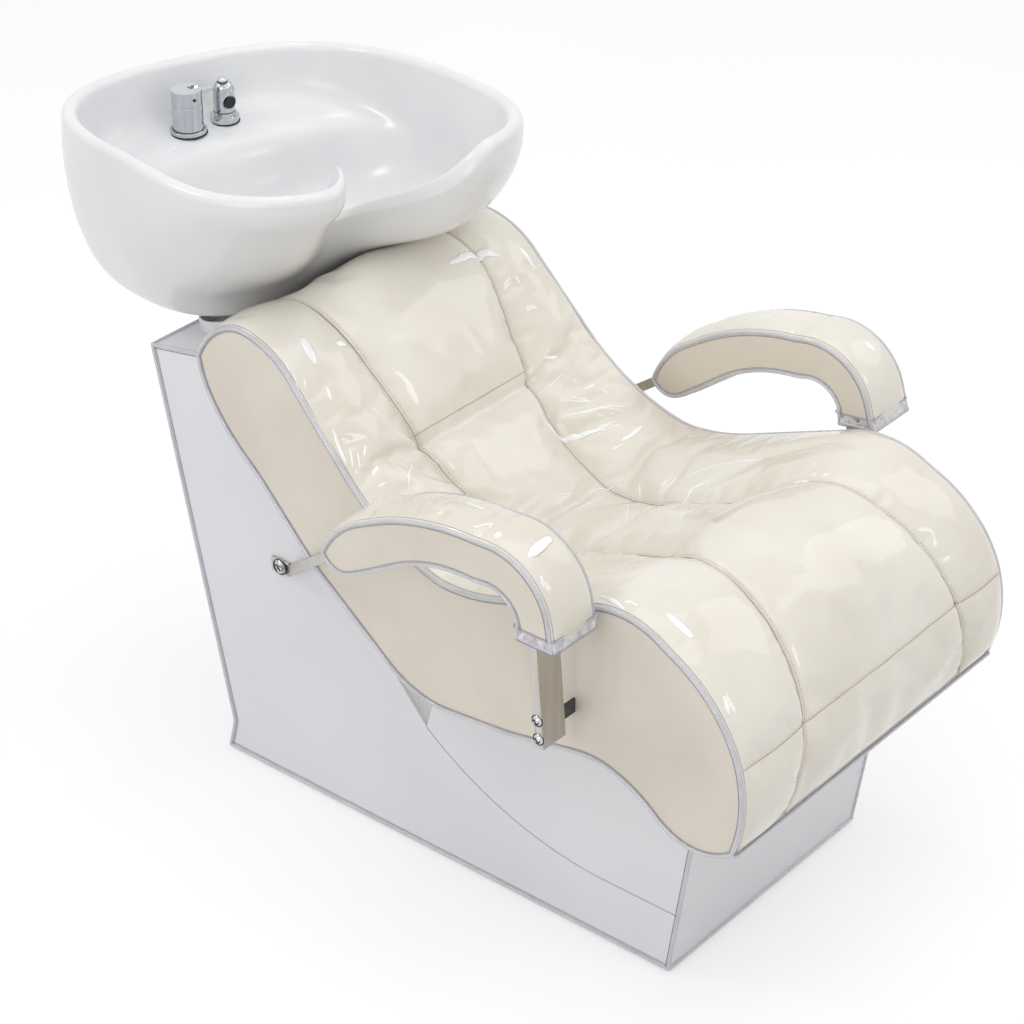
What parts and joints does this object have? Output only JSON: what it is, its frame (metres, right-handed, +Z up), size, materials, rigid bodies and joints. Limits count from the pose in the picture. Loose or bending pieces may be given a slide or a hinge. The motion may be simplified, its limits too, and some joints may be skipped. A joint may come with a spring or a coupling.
{
  "type": "hair washing bed",
  "caption": "Salon hair washing bed: curved upholstered lounge seat with padded armrests on a panelled base, and a tilting ceramic shampoo bowl with mixer and hand spray behind the backrest.",
  "frame": {"origin": "on the floor, under the middle of the base", "axes": "+Z up, -Y towards the foot end of the seat, +Y towards the bowl, +X to the right of someone who stands at the foot end and looks at the bed"},
  "size_m": [0.81, 1.4005, 1.0097],
  "materials": {
    "white_panel": "white laminated board, satin",
    "timber": "bare birch plywood and hardwood",
    "cream_leather": "cream synthetic leather under clear film, glossy",
    "white_ceramic": "white sanitary glaze, glossy",
    "chrome": "polished chrome plate",
    "black_plastic": "black, satin",
    "black_rubber": "black rubber",
    "silver_steel": "satin steel",
    "dark_steel": "black powder coat",
    "zinc_steel": "zinc plated fasteners",
    "white_nylon": "white nylon",
    "white_plastic": "white moulded cover",
    "grey_plastic": "grey moulded plastic"
  },
  "bodies": {
    "bed": {"base_side_front_left": "white_panel", "base_side_front_right": "white_panel", "base_side_rear_left": "white_panel", "base_side_rear_right": "white_panel", "base_bottom_board": "white_panel", "base_front_panel": "white_panel", "base_rear_panel": "white_panel", "rear_kick_board": "white_panel", "base_deck": "white_panel", "rear_panel_screws": "zinc_steel", "floor_glides": "grey_plastic", "corner_blocks": "timber", "cross_rails": "timber", "seat_board": "timber", "seat_bolts": "zinc_steel", "seat_cushion": "cream_leather", "arm_post_screws": "chrome", "arm_stay_screws": "chrome", "yoke_screws": "zinc_steel", "tilt_yoke": "silver_steel", "tilt_pins": "zinc_steel", "hinge_collar": "white_plastic", "arm_pad_left": "cream_leather", "arm_core_left": "timber", "arm_block_left": "timber", "arm_post_left": "silver_steel", "arm_bracket_left": "dark_steel", "arm_stay_left": "silver_steel", "arm_pad_right": "cream_leather", "arm_core_right": "timber", "arm_block_right": "timber", "arm_post_right": "silver_steel", "arm_bracket_right": "dark_steel", "arm_stay_right": "silver_steel"},
    "basin": {"bowl": "white_ceramic", "bowl_bracket": "silver_steel", "bracket_gasket": "black_rubber", "tilt_bushes": "white_nylon", "drain_flange": "chrome", "drain_seal_ring": "black_rubber", "drain_nut": "grey_plastic", "tailpiece": "grey_plastic", "mixer_seal": "black_rubber", "mixer_barrel": "chrome", "mixer_cartridge": "grey_plastic", "mixer_nut": "zinc_steel", "holder_seal": "black_rubber", "spray_holder": "chrome", "holder_nut": "zinc_steel"},
    "mixer_top": {"mixer_cap": "chrome", "mixer_dot": "black_plastic", "lever_pin": "zinc_steel"},
    "mixer_handle": {"mixer_lever": "chrome"},
    "spray": {"hand_spray": "chrome", "spray_face": "black_plastic"},
    "strainer_cup": {"strainer": "chrome"}
  },
  "joints": [
    {"name": "basin_tilt", "type": "hinge", "parent": "bed", "child": "basin", "pos_m": [0, 0.47939, 0.68489], "axis": [-1, 0, 0], "range_deg": [0, 12]},
    {"name": "mixer_turn", "type": "hinge", "parent": "basin", "child": "mixer_top", "pos_m": [0.046, 0.713, 0.9], "axis": [0, 0, 1], "range_deg": [-30, 30]},
    {"name": "mixer_lift", "type": "hinge", "parent": "mixer_top", "child": "mixer_handle", "pos_m": [0.05566, 0.71041, 0.91], "axis": [-0.2588, -0.9659, 0], "range_deg": [0, 20]},
    {"name": "spray_lift", "type": "slide", "parent": "basin", "child": "spray", "axis": [0, 0, 1], "range_m": [0, 0.15]},
    {"name": "strainer_lift", "type": "slide", "parent": "basin", "child": "strainer_cup", "axis": [0, 0, 1], "range_m": [0, 0.05]}
  ]
}
